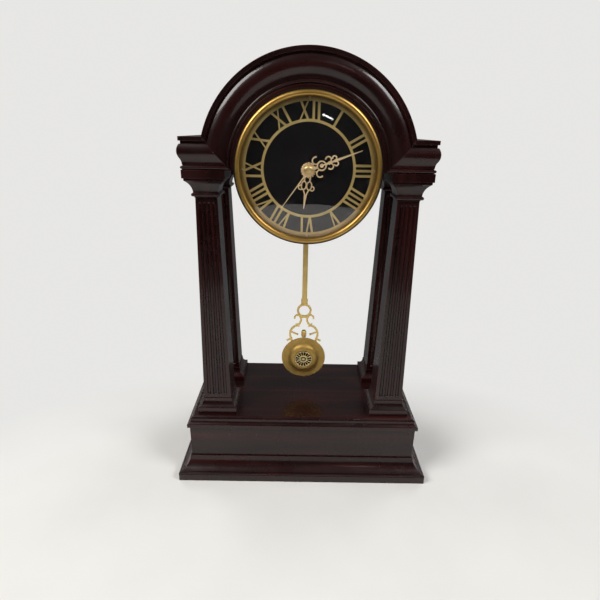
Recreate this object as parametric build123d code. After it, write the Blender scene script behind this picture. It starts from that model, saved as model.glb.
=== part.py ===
"""Portico pendulum clock: a moulded base, four fluted columns and an arched head with a round dial.

Millimetres, +Z up, origin on the floor under the middle of the base. The dial faces -Y.
"""
import math
import os

from build123d import *

# Base, from the floor up
plinth_h = 9.5  # plain fascia that stands on the floor
plinth_p = 15.3  # how far the fascia stands out from the frieze
base_bead_r = 1.6  # half-round above the fascia
base_cove_h = 15.0  # hollow moulding above the half-round
base_lip_h = 1.7  # flat under the frieze
base_end = 9.9  # frieze beyond the column feet at each end
base_front = 8.9  # frieze in front of the column feet
frieze_h = 43.7
frieze_t = 10.0
bottom_panel_t = 5.0
bottom_panel_lift = 3.0  # panel stands clear of the floor
top_fascia_h = 4.6  # plain lower edge of the top board
top_ogee_h = 9.6  # moulded upper edge of the top board
top_overhang = 2.6
top_flat_in = 4.8  # flat top starts this far behind the frieze face

# Columns, square on plan
column_in = 3.8  # middle of the columns inside the arch's outer edge
column_y = 38.2
foot_w = 48.8
foot_plate_h = 8.0
foot_cove_h = 9.0
foot_lip_h = 1.8
shaft_foot_w = 34.3
shaft_neck_w = 23.8
shaft_h = 250.4
flute_count = 4
flute_pitch_share = 0.2  # flute spacing as a share of the shaft's width
flute_width_share = 0.13
flute_depth_share = 0.9  # depth as a share of the flute's half width
flute_end_gap = 6.5  # plain shaft above and below the flutes
neck_h = 1.3
astragal_r = 1.9
capital_cove_h = 13.2
capital_fillet_h = 2.4
capital_fascia_h = 8.5
capital_fascia_p = 10.6  # fascia's projection from the shaft's neck
capital_fillet_in = 1.6

# Tie rods that clamp base, columns and head together
rod_r = 2.5
rod_bore_gap = 0.2
nut_r = 4.6
nut_h = 4.0
rod_end = 3.0  # thread beyond each nut

# Entablature and arch moulding, one profile
bead_r = 1.5
bead_seat = 1.0  # flat under the bead
groove_h = 1.2
ogee_hollow_h = 6.3
ogee_round_h = 13.8
cap_groove_h = 3.0
cap_h = 4.2
groove_p = 8.8
bead_p = 9.4
ogee_foot_p = 9.2
ogee_mid_p = 10.9
ogee_crown_p = 12.9
ogee_top_p = 10.6
cap_groove_p = 9.3
cap_p = 11.1
panel_p = 6.0  # face of the boards behind the moulding
panel_t = 12.0
arch_r = 112.8
arch_fascia_w = 2.9  # plain ring between the moulding and the drum
dial_rise = 1.5  # dial centre above the top of the capitals
soffit_t = 8.0
shoulder_t = 6.0
shoulder_inset = 5.0  # shoulder board runs this far inside the roof's foot
roof_set = 4.8  # roof inside the arch moulding's outer edge
roof_t = 6.0
glue_gap = 0.05  # between curved joints of the case

# Drum, bezel and dial
drum_t = 2.5
bezel_in = 1.9  # bezel's edge inside the drum's edge
bezel_lip_h = 0.9
bezel_lip_step = 0.6
bezel_roll_h = 6.0
bezel_roll_w = 5.7
bezel_sight_h = 3.9
bezel_skirt_t = 1.2
bezel_skirt_l = 8.0
slip_gap = 0.2  # loose fits of the dial parts
glass_t = 2.0
glass_rise = 9.0
glass_seat_h = 3.2  # underside of the rim that holds the glass
dial_depth = 7.2  # dial plate behind the front of the drum
dial_plate_t = 1.5
dial_pan_t = 2.0  # turned-back edge that holds the dial plate in the drum
dial_pan_d = 6.0
retaining_ring_t = 2.2
chapter_t = 1.2
chapter_under = 0.8  # ring's edge hidden behind the bezel
chapter_rim_w = 5.1
numeral_h = 16.3
chapter_ring_w = 2.6
numeral_bar_w = 2.4
numeral_hair_w = 1.5
numeral_gap = 2.8  # between neighbouring strokes
numeral_v_w = 6.4  # between the ends of a V's strokes
numeral_x_w = 8.2
pin_in = 2.4  # pins inside the chapter ring's edge
pin_r = 0.7
pin_head_r = 1.2
pin_head_h = 0.7
pin_gap = 0.05

# Hands
hour_deg = 186.0  # clockwise from the top
minute_deg = 69.5
second_deg = 216.0
hour_short = 9.7  # tip of the hour hand inside the numerals
minute_short = 7.5  # tip of the minute hand inside the chapter ring's rim
second_short = 1.7  # tip of the second hand inside the numerals
hand_t = 0.8
hand_gap = 1.5  # between one hand and the next
hour_hub_r = 7.0
minute_hub_r = 5.0
second_hub_r = 2.2

# Movement
post_r = 4.5
post_bore_gap = 0.08
mount_nut_r = 7.0
mount_nut_h = 2.6
hour_pipe_r = 2.75
minute_pipe_r = 1.75
second_arbor_r = 0.6
pipe_gap = 0.08
case_half_w = 30.0
case_below = 30.0
case_above = 54.0
case_wall = 1.5
front_case_d = 12.0
wheel_t = 1.2
pinion_t = 2.0
layer_pitch = 3.2  # from one wheel to the next, along the arbors
train_dist = 18.0  # centre arbor to third arbor
motion_dist = 12.0  # centre arbor to motion arbor
third_deg = 120.0
motion_deg = 0.0
knob_deg = -50.0
arbor_r = 0.6
arbor_gap = 0.06
bearing_post_r = 2.0
bearing_depth = 1.0
knob_r = 5.0
knob_h = 6.0
knob_gap = 0.3
battery_r = 7.1
battery_l = 50.0
battery_gap = 0.4
contact_t = 0.4
board_w = 28.0
board_h = 13.0
board_t = 1.2
board_up = 18.0  # board above the dial centre
motor_w = 14.0
motor_h = 24.0
motor_leg_w = 4.0
motor_gap = 0.9  # coil to the wall of the case
motor_z = -6.0  # from the dial centre
stator_t = 1.0
motor_coil_r = 3.6
motor_coil_l = 13.0
stand_off = 4.2  # board and stator in front of the case's back
stand_post_r = 1.5

# Pendulum
pendulum_y = 0.0
pivot_pin_r = 1.5
pivot_gap = 0.06
hub_clear = 0.3  # hanger to the shoulder of its pin
hanger_hub_r = 4.0
hanger_t = 4.0
hanger_w = 7.0
hanger_l = 44.0  # pivot to the bottom of the hanger
hook_slot_h = 9.0  # slot in the hanger for the rod's end
hook_pin_r = 1.0
hook_pin_up = 4.0
hook_gap = 0.1
magnet_r = 4.0
magnet_t = 3.0
magnet_gap = 1.5  # magnet to the movement
magnet_drop = 19.0  # magnet below the pivot
drive_coil_r = 8.0
drive_coil_bore_r = 3.0
drive_coil_l = 6.0
swing_deg = 6.0
slot_w = 12.0  # opening in the drum for the rod, front to back
slot_side_gap = 4.0
strip_w = 6.4  # flat pendulum rod
strip_t = 1.2
bob_r = 29.5
bob_clearance = 20.0  # bob above the base
bob_rim_t = 1.2
bob_border_w = 6.8  # from the edge to the foot of the dome
bob_border_sag = 0.25
bob_dome_h = 4.2
rosette_r = 12.0
rosette_t = 0.6
rosette_relief = 0.9
rosette_border = 1.3
rosette_petals = 16
petal_w = 0.9
fret_t = 1.6
fret_w = 2.7
fret_ring_r = 8.3  # middle of the wire
fret_ring_up = 68.6  # heights above the middle of the bob
fret_curl_out = 11.2
fret_curl_up = 59.5
fret_waist_out = 4.0
fret_waist_up = 54.6
fret_knot_out = 8.2
fret_knot_up = 47.5
fret_lobe_out = 18.0
fret_lobe_up = 38.0
fret_foot_out = 16.6
fret_foot_up = 27.5
fret_tip_out = 22.8
fret_tip_up = 24.6
fret_leaf_out = 8.6
fret_leaf_up = 34.0
fret_hook_up = 56.8
clip_w = 1.1  # lugs beside the end of the rod
clip_h = 6.5
lug_h = 2.8
bob_nut_r = 3.4
bob_nut_h = 9.4
bob_nut_up = 0.8  # nut above the edge of the bob
bob_nut_post_w = 2.4

# Rear door
door_t = 3.0
door_gap = 0.3
door_in = 1.0  # door's edge inside the drum's edge
hinge_z_up = 14.0  # middle of the hinge above the dial centre
hinge_l = 20.0
hinge_barrel_r = 2.2
hinge_pin_r = 1.0
hinge_pin_gap = 0.06
hinge_leaf_w = 14.0
hinge_leaf_t = 1.2
hinge_clear = 0.3
door_knob_r = 5.0
door_knob_h = 9.0
door_knob_in = 12.0  # knob's middle inside the door's edge

# Levels and planes worked out from the sizes above
column_x = arch_r - column_in
frieze_w = 2 * (column_x + foot_w / 2 + base_end)
frieze_d = 2 * (column_y + foot_w / 2 + base_front)
moulding_top_z = plinth_h + 2 * base_bead_r + base_cove_h + base_lip_h
board_z = moulding_top_z + frieze_h
base_top_z = board_z + top_fascia_h + top_ogee_h
foot_h = foot_plate_h + foot_cove_h + foot_lip_h
shaft_z = base_top_z + foot_h
capital_z = shaft_z + shaft_h
astragal_h = 2 * astragal_r
capital_h = neck_h + astragal_h + capital_cove_h + capital_fillet_h + capital_fascia_h
spring_z = capital_z + capital_h
bead_top = bead_seat + 2 * bead_r
ogee_foot = bead_top + groove_h
ogee_mid = ogee_foot + ogee_hollow_h
ogee_top = ogee_mid + ogee_round_h
cap_foot = ogee_top + cap_groove_h
entablature_h = cap_foot + cap_h
shoulder_z = spring_z + entablature_h
dial_z = spring_z + dial_rise
side_x = column_x + shaft_neck_w / 2
front_y = column_y + shaft_neck_w / 2
panel_x = side_x + panel_p
panel_y = front_y + panel_p
face_y = -(front_y + capital_fascia_p)  # front edge of the drum
arch_foot_r = arch_r - entablature_h
roof_r = arch_r - roof_set
drum_r = arch_foot_r - arch_fascia_w
bezel_r = drum_r - bezel_in
bezel_sight_r = bezel_r - bezel_roll_w
chapter_edge_r = bezel_sight_r + chapter_under
chapter_rim_r = chapter_edge_r - chapter_rim_w  # inner edge of the rim
chapter_ring_r = chapter_rim_r - numeral_h  # outer edge of the inner ring
pin_circle_r = chapter_edge_r - pin_in
hour_len = chapter_ring_r - hour_short
scroll_w = hour_len / 30  # width of the hands' strokes
minute_len = chapter_rim_r - minute_short
second_len = chapter_ring_r - second_short
door_r = drum_r - door_in
dial_front_y = face_y + dial_depth
dial_back_y = dial_front_y + dial_plate_t
glass_back_h = glass_seat_h - glass_t
skirt_r = drum_r - drum_t - slip_gap
seat_r = skirt_r - bezel_skirt_t
case_front_y = dial_back_y
case_split_y = case_front_y + front_case_d
case_back_y = pendulum_y - hanger_t / 2 - magnet_t - magnet_gap
case_floor_y = case_back_y - case_wall
battery_mid_y = case_back_y - battery_r
battery_z = dial_z + case_above - 2 * case_wall - battery_gap - battery_r
nut_front_y = dial_front_y - mount_nut_h
hour_hand_y = nut_front_y - hand_gap
minute_hand_y = hour_hand_y - hand_t - hand_gap
second_hand_y = minute_hand_y - hand_t - hand_gap
wheel_y = case_front_y + case_wall + wheel_t
bob_z = base_top_z + bob_clearance + bob_r
column_spots = {
    "front_left": (-column_x, -column_y),
    "front_right": (column_x, -column_y),
    "rear_left": (-column_x, column_y),
    "rear_right": (column_x, column_y),
}

os.makedirs("parts", exist_ok=True)


def save(name, *solids):
    """Write one node; several solids make a group."""
    shape = solids[0] if len(solids) == 1 else Compound(children=[s.solid() for s in solids])
    export_step(shape, f"parts/{name}.step")


def block(x0, x1, y0, y1, z0, z1):
    """Box between two corners."""
    return Pos((x0 + x1) / 2, (y0 + y1) / 2, (z0 + z1) / 2) * Box(x1 - x0, y1 - y0, z1 - z0)


def rod_along_y(radius, y0, y1, x=0.0, z=0.0):
    """Round bar along Y."""
    return Pos(x, (y0 + y1) / 2, z) * Rot(90, 0, 0) * Cylinder(radius, y1 - y0)


def rod_along_z(radius, z0, z1, x=0.0, y=0.0):
    """Round bar along Z."""
    return Pos(x, y, (z0 + z1) / 2) * Cylinder(radius, z1 - z0)


def tube_along_y(outer, inner, y0, y1, x=0.0, z=0.0):
    """Round tube along Y."""
    return rod_along_y(outer, y0, y1, x, z) - rod_along_y(inner, y0, y1, x, z)


def plate(sketch, y0, y1):
    """Sketch drawn as seen from the front, given a thickness from y0 back to y1."""
    return Pos(0, y1, 0) * extrude(Plane.XZ * sketch, y1 - y0)


def run(start, steps, place):
    """Edges through the steps: a point is a straight run, a pair (middle, end) is an arc."""
    edges = []
    here = start
    for step in steps:
        if isinstance(step[0], tuple):
            middle, end = step
            edges.append(ThreePointArc(place(*here), place(*middle), place(*end)))
        else:
            end = step
            edges.append(Line(place(*here), place(*end)))
        here = end
    return edges


def outline(start, steps, place):
    """Closed face round the steps."""
    last = steps[-1][1] if isinstance(steps[-1][0], tuple) else steps[-1]
    edges = run(start, steps, place)
    if last != start:
        edges.append(Line(place(*last), place(*start)))
    return make_face(edges)


def bow(a, b, sag):
    """Arc from a to b that bulges to the right of the direction of travel by sag."""
    length = math.hypot(b[0] - a[0], b[1] - a[1])
    middle = (
        (a[0] + b[0]) / 2 + sag * (b[1] - a[1]) / length,
        (a[1] + b[1]) / 2 - sag * (b[0] - a[0]) / length,
    )
    return (middle, b)


def moulded_block(start, steps, half_x, half_y, z0):
    """Rectangular block whose four sides follow one profile of (projection, height) points."""
    last = steps[-1][1] if isinstance(steps[-1][0], tuple) else steps[-1]

    def silhouette(half, place):
        right = run(start, steps, lambda p, z: place(half + p, z0 + z))
        left = run(start, steps, lambda p, z: place(-half - p, z0 + z))
        foot = Line(place(-half - start[0], z0 + start[1]), place(half + start[0], z0 + start[1]))
        head = Line(place(-half - last[0], z0 + last[1]), place(half + last[0], z0 + last[1]))
        return make_face(right + left + [foot, head])

    reach = 2 * max(half_x, half_y)
    across = extrude(silhouette(half_x, lambda u, z: (u, 0, z)), reach, both=True)
    along = extrude(silhouette(half_y, lambda u, z: (0, u, z)), reach, both=True)
    return across & along


def base_moulding():
    """Four strips, mitred at the corners, that carry the frieze boards."""
    step_p = plinth_p - base_bead_r
    bead_z = plinth_h + 2 * base_bead_r
    cove_foot = (step_p - base_bead_r, bead_z)
    cove_head = (base_bead_r, bead_z + base_cove_h)
    steps = [
        (plinth_p, plinth_h),
        (step_p, plinth_h),
        ((plinth_p, plinth_h + base_bead_r), (step_p, bead_z)),
        cove_foot,
        bow(cove_foot, cove_head, -base_cove_h / 6),
        (base_bead_r, moulding_top_z),
    ]
    ring = moulded_block((plinth_p, 0), steps, frieze_w / 2, frieze_d / 2, 0)
    inner_x = frieze_w / 2 - frieze_t
    inner_y = frieze_d / 2 - frieze_t
    ring -= block(-inner_x, inner_x, -inner_y, inner_y, -1, moulding_top_z + 1)
    outer_x = frieze_w / 2 + plinth_p
    outer_y = frieze_d / 2 + plinth_p
    strips = []
    for sign in (-1, 1):
        front = Polygon(
            (-outer_x, sign * outer_y), (outer_x, sign * outer_y),
            (inner_x, sign * inner_y), (-inner_x, sign * inner_y), align=None)
        side = Polygon(
            (sign * outer_x, -outer_y), (sign * outer_x, outer_y),
            (sign * inner_x, inner_y), (sign * inner_x, -inner_y), align=None)
        strips += [ring & extrude(s, moulding_top_z, dir=(0, 0, 1)) for s in (front, side)]
    save("base_moulding_strips", *strips)


def base_box():
    """Frieze boards, bottom panel and top board."""
    half_w = frieze_w / 2
    half_d = frieze_d / 2
    boards = []
    for sign in (-1, 1):
        y = sorted((sign * half_d, sign * (half_d - frieze_t)))
        x = sorted((sign * half_w, sign * (half_w - frieze_t)))
        boards.append(block(-half_w, half_w, y[0], y[1], moulding_top_z, board_z))
        boards.append(block(x[0], x[1], frieze_t - half_d, half_d - frieze_t, moulding_top_z, board_z))
    save("base_frieze_boards", *boards)
    in_w = half_w - frieze_t
    in_d = half_d - frieze_t
    save("base_bottom_panel", block(
        -in_w, in_w, -in_d, in_d, bottom_panel_lift, bottom_panel_lift + bottom_panel_t))
    edge_h = top_fascia_h + top_ogee_h
    hollow_foot = (top_overhang - 0.2 * top_fascia_h, top_fascia_h)
    crown = (-top_flat_in, edge_h)
    turn = ((hollow_foot[0] + crown[0]) / 2, (hollow_foot[1] + crown[1]) / 2)
    steps = [
        (top_overhang, top_fascia_h),
        hollow_foot,
        bow(hollow_foot, turn, -top_ogee_h / 10),
        bow(turn, crown, top_ogee_h / 10),
    ]
    board = moulded_block((top_overhang, 0), steps, half_w, half_d, board_z)
    for x, y in column_spots.values():
        board -= rod_along_z(rod_r + rod_bore_gap, board_z - 1, base_top_z + 1, x, y)
    save("base_top_board", board)


def column_feet():
    """Square plates with a hollow moulding under each shaft."""
    plate_p = (foot_w - shaft_foot_w) / 2
    cove_foot = (plate_p - 0.5 * foot_lip_h, foot_plate_h)
    cove_head = (0.5 * foot_lip_h, foot_plate_h + foot_cove_h)
    steps = [
        (plate_p, foot_plate_h),
        cove_foot,
        bow(cove_foot, cove_head, -foot_cove_h / 6),
        (0.5 * foot_lip_h, foot_h),
    ]
    foot = moulded_block((plate_p, 0), steps, shaft_foot_w / 2, shaft_foot_w / 2, base_top_z)
    foot -= rod_along_z(rod_r + rod_bore_gap, base_top_z - 1, shaft_z + 1)
    save("column_feet", *[Pos(x, y, 0) * foot for x, y in column_spots.values()])


def column_shafts():
    """Tapered shafts with round-ended flutes down the front."""
    taper = (shaft_neck_w - shaft_foot_w) / 2
    shaft = moulded_block((0, 0), [(taper, shaft_h)], shaft_foot_w / 2, shaft_foot_w / 2, shaft_z)

    def flute_end(height, index):
        width = shaft_foot_w + 2 * taper * height / shaft_h
        offset = (index - (flute_count - 1) / 2) * flute_pitch_share * width
        half = flute_width_share * width / 2
        depth = flute_depth_share * half
        radius = (half * half + depth * depth) / (2 * depth)
        return Vector(offset, -width / 2 - (radius - depth), shaft_z + height), radius

    for index in range(flute_count):
        low, low_r = flute_end(flute_end_gap, index)
        high, high_r = flute_end(shaft_h - flute_end_gap, index)
        cutter = Plane(origin=low, z_dir=high - low) * Cone(
            low_r, high_r, (high - low).length, align=(Align.CENTER, Align.CENTER, Align.MIN))
        shaft -= cutter
        shaft -= Pos(*low) * Sphere(low_r)
        shaft -= Pos(*high) * Sphere(high_r)
    shaft -= rod_along_z(rod_r + rod_bore_gap, shaft_z - 1, capital_z + 1)
    for name, (x, y) in column_spots.items():
        save(f"column_shaft_{name}", Pos(x, y, 0) * shaft)


def column_capitals():
    """Necking, bead, hollow and square block on top of each shaft."""
    neck_p = 0.3 * astragal_r
    seat_p = 0.8 * astragal_r
    bead_z = neck_h + astragal_h
    fillet_p = capital_fascia_p - capital_fillet_in
    cove_z = bead_z + capital_cove_h
    fascia_z = cove_z + capital_fillet_h
    cove_foot = (seat_p, bead_z)
    cove_head = (fillet_p, cove_z)
    steps = [
        (neck_p, neck_h),
        (seat_p, neck_h),
        ((seat_p + astragal_r, neck_h + astragal_r), (seat_p, bead_z)),
        bow(cove_foot, cove_head, -capital_cove_h / 7),
        (fillet_p, fascia_z),
        (capital_fascia_p, fascia_z),
        (capital_fascia_p, capital_h),
    ]
    capital = moulded_block((neck_p, 0), steps, shaft_neck_w / 2, shaft_neck_w / 2, capital_z)
    capital -= rod_along_z(rod_r + rod_bore_gap, capital_z - 1, spring_z + 1)
    save("column_capitals", *[Pos(x, y, 0) * capital for x, y in column_spots.values()])


def tie_rods():
    """Threaded rods through the columns, with a nut below and above."""
    low = board_z - nut_h - rod_end
    high = spring_z + soffit_t + nut_h + rod_end
    rods = []
    nuts = []
    for x, y in column_spots.values():
        rods.append(rod_along_z(rod_r, low, high, x, y))
        for z in (board_z - nut_h, spring_z + soffit_t):
            nut = Pos(x, y, z) * extrude(RegularPolygon(nut_r, 6), nut_h)
            nuts.append(nut - rod_along_z(rod_r + glue_gap, z - 1, z + nut_h + 1, x, y))
    save("column_tie_rods", *rods)
    save("tie_rod_nuts", *nuts)


# Entablature profile: projection from the shaft's neck, height above the capitals
ogee_bulge = (ogee_crown_p, ogee_mid + 0.45 * ogee_round_h)
hollow_end = (ogee_mid_p, ogee_mid)
moulding_steps = [
    (bead_p, bead_seat),
    ((bead_p + bead_r, bead_seat + bead_r), (bead_p, bead_top)),
    (groove_p, bead_top),
    (groove_p, ogee_foot),
    (ogee_foot_p, ogee_foot),
    bow((ogee_foot_p, ogee_foot), hollow_end, -ogee_hollow_h / 12),
    (ogee_bulge, (ogee_top_p, ogee_top)),
    (cap_groove_p, ogee_top),
    (cap_groove_p, cap_foot),
    (cap_p, cap_foot),
    (cap_p, entablature_h),
]


def arch_side():
    """Face, as seen from the front, above the line where arch and straight mouldings meet.

    A level moulding and a ring of the same profile meet on a parabola.
    """
    spread = arch_foot_r + dial_rise
    x_low = math.sqrt(arch_foot_r ** 2 - dial_rise ** 2)
    x_high = math.sqrt(arch_r ** 2 - (entablature_h - dial_rise) ** 2)
    x_turn = (x_low + x_high) / 2
    z_turn = spring_z + (x_turn - x_low) * x_low / spread
    top = dial_z + 2 * arch_r
    right = Bezier((x_low, spring_z), (x_turn, z_turn), (x_high, shoulder_z))
    left = Bezier((-x_low, spring_z), (-x_turn, z_turn), (-x_high, shoulder_z))
    rest = Polyline((x_high, shoulder_z), (x_high, top), (-x_high, top), (-x_high, shoulder_z))
    foot = Line((-x_low, spring_z), (x_low, spring_z))
    return make_face(right.edges() + left.edges() + rest.edges() + foot.edges())


def entablature():
    """Arch moulding, straight mouldings beside it and the moulded side rails."""
    above = plate(arch_side(), -2 * front_y, 0)
    ring_start = (panel_p, drum_r + glue_gap - arch_foot_r)
    ring_steps = [
        (capital_fascia_p, ring_start[1]), (capital_fascia_p, 0), (bead_p, 0),
    ] + moulding_steps + [(panel_p, entablature_h)]
    ring = revolve(outline(ring_start, ring_steps, lambda p, s: (arch_foot_r + s, -front_y - p)), Axis.Y)
    save("arch_moulding", Pos(0, 0, dial_z) * ring & above)

    straight_steps = [(bead_p, 0)] + moulding_steps + [(panel_p, entablature_h)]
    reach = side_x + ogee_crown_p
    depth = front_y + ogee_crown_p
    corner = Polygon((0, -depth), (reach, -depth), (panel_x, -panel_y), (0, -panel_y), align=None)
    front = extrude(outline((panel_p, 0), straight_steps, lambda p, s: (0, -front_y - p, spring_z + s)),
                    reach, dir=(1, 0, 0))
    front = front & (Pos(0, 0, spring_z) * extrude(corner, entablature_h)) - above
    save("entablature_front_right", front)
    save("entablature_front_left", mirror(front, Plane.YZ))

    rail_in = panel_p - panel_t
    side_face = outline((panel_p, 0), straight_steps, lambda p, s: (side_x + p, -depth, spring_z + s))
    side = extrude(side_face, depth + panel_y, dir=(0, 1, 0))
    wedge = Polygon((panel_x, -panel_y), (reach, -depth), (reach, panel_y), (panel_x, panel_y), align=None)
    side = side & (Pos(0, 0, spring_z) * extrude(wedge, entablature_h))
    inner_y = panel_y - panel_t
    side += block(side_x + rail_in, panel_x, -inner_y, inner_y, spring_z, shoulder_z)
    save("entablature_side_right", side)
    save("entablature_side_left", mirror(side, Plane.YZ))


def head_boards():
    """Front and back panels, soffits, shoulders and the bent roof."""
    roof_in = roof_r - roof_t
    shoulders = Pos(0, spring_z + entablature_h / 2) * Rectangle(2 * panel_x, entablature_h)
    dome = Pos(0, dial_z) * Circle(roof_in - glue_gap)
    above_spring = Pos(0, spring_z + arch_r) * Rectangle(4 * arch_r, 2 * arch_r)
    panel = (shoulders + dome & above_spring) - Pos(0, dial_z) * Circle(drum_r + glue_gap)
    save("arch_front_panel", plate(panel, -panel_y, panel_t - panel_y))
    save("arch_back_panel", plate(panel, panel_y - panel_t, panel_y))

    above_shoulder = Pos(0, shoulder_z + arch_r) * Rectangle(4 * arch_r, 2 * arch_r)
    bend = Pos(0, dial_z) * (Circle(roof_r) - Circle(roof_in)) & above_shoulder
    save("arch_roof", plate(bend, -panel_y, panel_y))

    inner_y = panel_y - panel_t
    rail_x = panel_x - panel_t
    soffit = block(drum_r + slip_gap, rail_x, -inner_y, inner_y, spring_z, spring_z + soffit_t)
    for y in (-column_y, column_y):
        soffit -= rod_along_z(rod_r + rod_bore_gap, spring_z - 1, spring_z + soffit_t + 1, column_x, y)
    save("head_soffit_boards", soffit, mirror(soffit, Plane.YZ))
    foot_x = math.sqrt(roof_in ** 2 - (shoulder_z - dial_z) ** 2)
    shoulder = block(foot_x - shoulder_inset, rail_x, -inner_y, inner_y, shoulder_z - shoulder_t, shoulder_z)
    save("head_shoulder_boards", shoulder, mirror(shoulder, Plane.YZ))


def turned(start, steps):
    """Ring about the dial axis from (radius, height in front of the drum) points."""
    face = outline(start, steps, lambda r, h: (r, face_y - h))
    return Pos(0, 0, dial_z) * revolve(face, Axis.Y)


def dial_case():
    """Drum, bezel, glass and the ring that holds the glass."""
    drum_in = drum_r - drum_t
    drum = tube_along_y(drum_r, drum_in, face_y, panel_y, z=dial_z)
    slot_half = drum_r * math.tan(math.radians(swing_deg)) + strip_w / 2 + slot_side_gap
    drum -= block(-slot_half, slot_half, pendulum_y - slot_w / 2, pendulum_y + slot_w / 2,
                  dial_z - 2 * drum_r, dial_z - drum_in / 2)
    save("dial_drum", drum)

    lip_r = bezel_r - bezel_lip_step
    roll_top = ((lip_r + bezel_sight_r) / 2, bezel_roll_h)
    bezel = turned((seat_r, -bezel_skirt_l), [
        (skirt_r, -bezel_skirt_l), (skirt_r, 0), (bezel_r, 0), (bezel_r, bezel_lip_h),
        (lip_r, bezel_lip_h), (lip_r, 2 * bezel_lip_h),
        (roll_top, (bezel_sight_r, bezel_sight_h)),
        (bezel_sight_r, glass_seat_h), (seat_r, glass_seat_h),
    ])
    save("bezel", bezel)

    glass_r = seat_r - slip_gap
    dome_r = bezel_sight_r - slip_gap

    def dome(height):
        sphere = (dome_r ** 2 + glass_rise ** 2) / (2 * glass_rise)
        r = dome_r / 2
        return (r, height + math.sqrt(sphere ** 2 - r ** 2) - (sphere - glass_rise))

    glass = turned((0, glass_back_h + glass_rise), [
        (dome(glass_back_h), (dome_r, glass_back_h)),
        (glass_r, glass_back_h), (glass_r, glass_seat_h), (dome_r, glass_seat_h),
        (dome(glass_seat_h), (0, glass_seat_h + glass_rise)),
    ])
    save("dial_glass", glass)
    save("glass_retaining_ring", turned((glass_r - retaining_ring_t, -dial_depth), [
        (glass_r, -dial_depth), (glass_r, glass_back_h), (glass_r - retaining_ring_t, glass_back_h)]))


def pin_spots():
    """Pins at the quarters of the dial."""
    for quarter in range(4):
        angle = math.radians(90 * quarter)
        yield pin_circle_r * math.sin(angle), dial_z + pin_circle_r * math.cos(angle)


def numeral_strokes(text):
    """Strokes of a Roman numeral as (inner offset, outer offset, width), middle at zero."""
    spread = {"I": 0.0, "V": numeral_v_w / 2, "X": numeral_x_w / 2}
    pitch = numeral_bar_w + numeral_gap
    left = -sum(2 * spread[letter] + pitch for letter in text) / 2
    strokes = []
    for letter in text:
        half = spread[letter]
        mid = left + half + pitch / 2
        if letter == "I":
            strokes.append((mid, mid, numeral_bar_w))
        elif letter == "V":
            strokes.append((mid, mid - half, numeral_bar_w))
            strokes.append((mid, mid + half, numeral_hair_w))
        else:
            strokes.append((mid + half, mid - half, numeral_bar_w))
            strokes.append((mid - half, mid + half, numeral_hair_w))
        left += 2 * half + pitch
    return strokes


def dial_face():
    """Black plate, pierced chapter ring and its pins."""
    pan_r = drum_r - drum_t - glue_gap
    front_r = seat_r - slip_gap
    rim_h = -bezel_skirt_l - slip_gap
    back_h = -dial_depth - dial_plate_t
    pan = turned((0, -dial_depth), [
        (front_r, -dial_depth), (front_r, rim_h), (pan_r, rim_h), (pan_r, back_h - dial_pan_d),
        (pan_r - dial_pan_t, back_h - dial_pan_d), (pan_r - dial_pan_t, back_h), (0, back_h),
    ])
    pan -= rod_along_y(post_r + post_bore_gap, dial_front_y - 1, dial_back_y + 1, z=dial_z)
    ring = Circle(chapter_edge_r) - Circle(chapter_rim_r)
    ring += Circle(chapter_ring_r) - Circle(chapter_ring_r - chapter_ring_w)
    low = chapter_ring_r - chapter_ring_w / 2
    high = chapter_rim_r + numeral_bar_w / 2
    numerals = ["XII", "I", "II", "III", "IIII", "V", "VI", "VII", "VIII", "IX", "X", "XI"]
    for hour, text in enumerate(numerals):
        for inner, outer, width in numeral_strokes(text):
            bar = Polygon((inner - width / 2, low), (inner + width / 2, low),
                          (outer + width / 2, high), (outer - width / 2, high), align=None)
            ring += Rot(0, 0, -30 * hour) * bar
    ring = Pos(0, dial_z) * ring
    pins = []
    for x, z in pin_spots():
        ring -= Pos(x, z) * Circle(pin_r + pin_gap)
        pan -= rod_along_y(pin_r + pin_gap, dial_front_y - 1, dial_back_y + 1, x, z)
        head_y = dial_front_y - chapter_t
        pins.append(rod_along_y(pin_r, head_y, dial_back_y, x, z)
                    + rod_along_y(pin_head_r, head_y - pin_head_h, head_y, x, z))
    save("dial_plate", pan)
    save("chapter_ring", plate(ring, dial_front_y - chapter_t, dial_front_y))
    save("chapter_ring_pins", *pins)


def scroll(x, y, radius, start, sweep, width=scroll_w):
    """Curl of a hand: part of a ring with a round bead on each end."""
    arc = CenterArc((x, y), radius, start, sweep)
    curl = trace(arc, width)
    for spot in (arc @ 0, arc @ 1):
        curl += Pos(spot.X, spot.Y) * Circle(0.62 * width)
    return curl


def pointer(y0, y1, w0, w1):
    """Tapered bar along a hand."""
    return Polygon((-w0 / 2, y0), (w0 / 2, y0), (w1 / 2, y1), (-w1 / 2, y1), align=None)


def both(sketch):
    """Sketch and its mirror image about the hand's middle line."""
    return sketch + mirror(sketch, Plane.YZ)


def hand_plate(sketch, angle, back_y):
    """Hand drawn upright, turned clockwise from the top."""
    turned_sketch = Pos(0, dial_z) * Rot(0, 0, -angle) * sketch
    return plate(turned_sketch, back_y - hand_t, back_y)


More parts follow.
